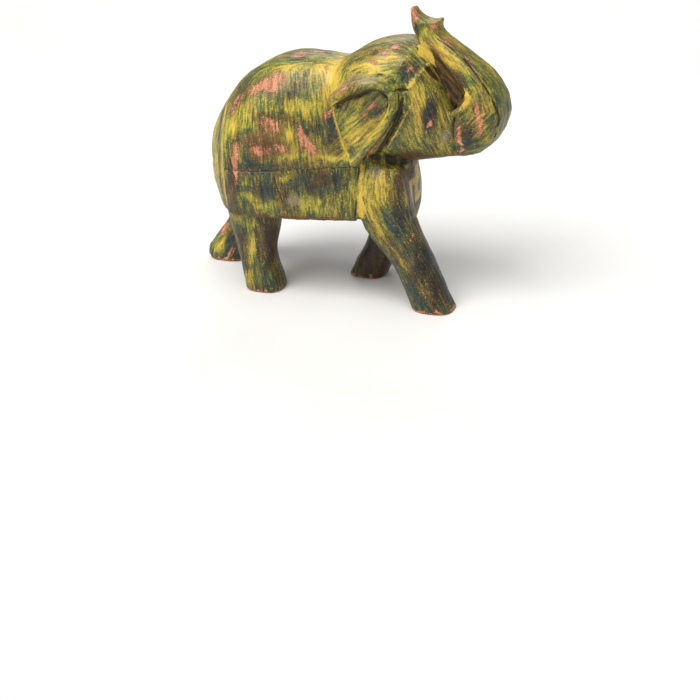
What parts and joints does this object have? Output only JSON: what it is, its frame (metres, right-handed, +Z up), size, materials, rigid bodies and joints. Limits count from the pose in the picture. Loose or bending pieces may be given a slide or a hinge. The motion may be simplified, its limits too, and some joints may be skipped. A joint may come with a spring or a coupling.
{
  "type": "carved elephant statuette",
  "caption": "Walking elephant carved from glued hardwood blocks, trunk curled up and back to the forehead, with rubbed-back layered paint.",
  "frame": {"origin": "middle of the bounding box in length and width, at the height of the soles", "axes": "+X towards the trunk, +Y to the elephant's left, +Z up"},
  "size_m": [0.3654, 0.1502, 0.314],
  "materials": {
    "painted_wood": "satin, layered green and yellow paint rubbed back to terracotta and bare wood",
    "bare_dowel": "bare"
  },
  "bodies": {
    "root": {"body_plank_right": "painted_wood", "body_plank_left": "painted_wood", "belly_slab": "painted_wood", "leg_front_right": "painted_wood", "leg_front_left": "painted_wood", "leg_hind_right": "painted_wood", "leg_hind_left": "painted_wood", "dowel_leg_front_right": "bare_dowel", "dowel_leg_front_left": "bare_dowel", "dowel_leg_hind_right": "bare_dowel", "dowel_leg_hind_left": "bare_dowel", "dowel_slab_front_right": "bare_dowel", "dowel_slab_front_left": "bare_dowel", "dowel_slab_rear_right": "bare_dowel", "dowel_slab_rear_left": "bare_dowel", "dowel_cross_trunk": "bare_dowel", "dowel_cross_shoulder": "bare_dowel", "dowel_cross_rump": "bare_dowel"}
  },
  "joints": []
}
